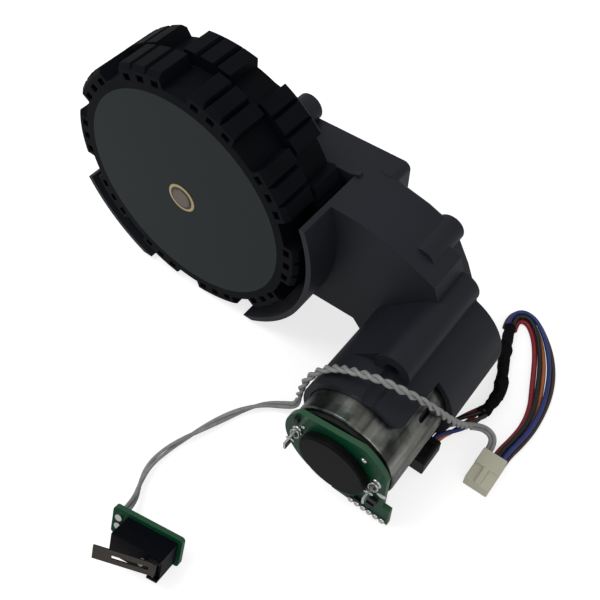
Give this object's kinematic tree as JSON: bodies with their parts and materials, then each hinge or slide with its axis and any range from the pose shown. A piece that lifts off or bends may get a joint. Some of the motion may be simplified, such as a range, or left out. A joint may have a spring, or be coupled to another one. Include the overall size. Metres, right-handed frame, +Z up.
{
  "type": "robot vacuum drive wheel module",
  "caption": "Robot vacuum drive wheel with lugged tyre, plastic gearbox, brushed motor with encoder board, taped wire loom and lever microswitch.",
  "frame": {"origin": "centre of the wheel, on its axle and midway across the tyre", "axes": "+X from the wheel to the motor, +Y along the axle from the hub's face into the gearbox, +Z up as it lies"},
  "size_m": [0.1225, 0.1101, 0.065],
  "materials": {
    "tyre_rubber": "moulded rubber, matt",
    "hub_plastic": "fine-grained moulding, matt",
    "case_plastic": "fine-grained moulding, satin",
    "gear_plastic": "acetal, natural",
    "brass_bright": "turned",
    "shaft_steel": "ground",
    "can_steel": "zinc plated, drawn",
    "screw_steel": "blackened",
    "magnet_ferrite": "sintered",
    "cap_plastic": "moulded",
    "board_green": "solder mask",
    "solder_tin": "tinned",
    "chip_black": "moulded",
    "disc_black": "moulded",
    "plug_black": "moulded nylon",
    "connector_white": "natural nylon",
    "tape_black": "cloth tape",
    "wire_red": "insulation",
    "wire_black": "insulation",
    "wire_orange": "insulation",
    "wire_blue": "insulation",
    "wire_brown": "insulation",
    "pair_grey": "insulation",
    "switch_black": "moulded",
    "lever_steel": "stamped",
    "plunger_white": "moulded"
  },
  "bodies": {
    "housing": {"front_case": "case_plastic", "rear_cover": "case_plastic", "case_screws": "screw_steel", "front_bearing": "shaft_steel", "rear_bush": "brass_bright", "first_gear_pin": "shaft_steel", "second_gear_pin": "shaft_steel", "idler_gear_pin": "shaft_steel", "motor_can": "can_steel", "motor_end_cap": "cap_plastic", "motor_magnets": "magnet_ferrite", "motor_nose_bush": "brass_bright", "motor_cap_bush": "brass_bright", "motor_terminals": "solder_tin", "encoder_board": "board_green", "board_solder": "solder_tin", "board_parts": "chip_black", "board_header": "plug_black", "loom_plug": "plug_black", "wire_loom": "tape_black", "wire_red": "wire_red", "wire_black": "wire_black", "wire_orange": "wire_orange", "wire_blue": "wire_blue", "wire_brown": "wire_brown", "loom_connector": "connector_white", "switch_cable": "pair_grey", "switch_board": "board_green", "switch_body": "switch_black", "switch_solder": "solder_tin"},
    "wheel": {"tyre": "tyre_rubber", "wheel_hub": "hub_plastic", "shaft_sleeve": "brass_bright", "drive_shaft": "shaft_steel", "output_gear": "gear_plastic"},
    "idler": {"idler_gear": "gear_plastic"},
    "second": {"second_gear": "gear_plastic"},
    "first": {"first_gear": "gear_plastic"},
    "rotor": {"motor_pinion": "brass_bright", "motor_shaft": "shaft_steel", "armature": "can_steel", "commutator": "brass_bright", "encoder_disc": "disc_black"},
    "lever": {"switch_lever": "lever_steel"},
    "plunger": {"switch_plunger": "plunger_white"}
  },
  "joints": [
    {"name": "wheel_spin", "type": "hinge", "parent": "housing", "child": "wheel", "pos_m": [0, 0, 0], "axis": [0, 1, 0], "continuous": true},
    {"name": "idler_spin", "type": "hinge", "parent": "housing", "child": "idler", "pos_m": [0.02159, 0.0168, -0.00075], "axis": [0, 1, 0], "continuous": true},
    {"name": "second_gear_spin", "type": "hinge", "parent": "housing", "child": "second", "pos_m": [0.03288, 0.0148, -0.00759], "axis": [0, 1, 0], "continuous": true},
    {"name": "first_gear_spin", "type": "hinge", "parent": "housing", "child": "first", "pos_m": [0.04929, 0.0078, -0.00928], "axis": [0, 1, 0], "continuous": true},
    {"name": "rotor_spin", "type": "hinge", "parent": "housing", "child": "rotor", "pos_m": [0.0604, -0.0142, -0.0186], "axis": [0, 1, 0], "continuous": true},
    {"name": "lever_hinge", "type": "hinge", "parent": "housing", "child": "lever", "pos_m": [0.04418, -0.06964, -0.02602], "axis": [0.0788, -0.4471, -0.891], "range_deg": [0, 6], "stiffness_Nm_per_rad": 0.02, "springref_deg": -2.86},
    {"name": "plunger_slide", "type": "slide", "parent": "housing", "child": "plunger", "axis": [-0.1547, 0.8775, -0.454], "range_m": [0, 0.00035]}
  ],
  "couplings": [
    {"joint": "idler_spin", "follows": "wheel_spin", "ratio": -1.4545},
    {"joint": "second_gear_spin", "follows": "wheel_spin", "ratio": 2.9091},
    {"joint": "first_gear_spin", "follows": "wheel_spin", "ratio": -9.3986},
    {"joint": "rotor_spin", "follows": "wheel_spin", "ratio": 40.158},
    {"joint": "plunger_slide", "follows": "lever_hinge", "m_per_rad": 0.003}
  ]
}
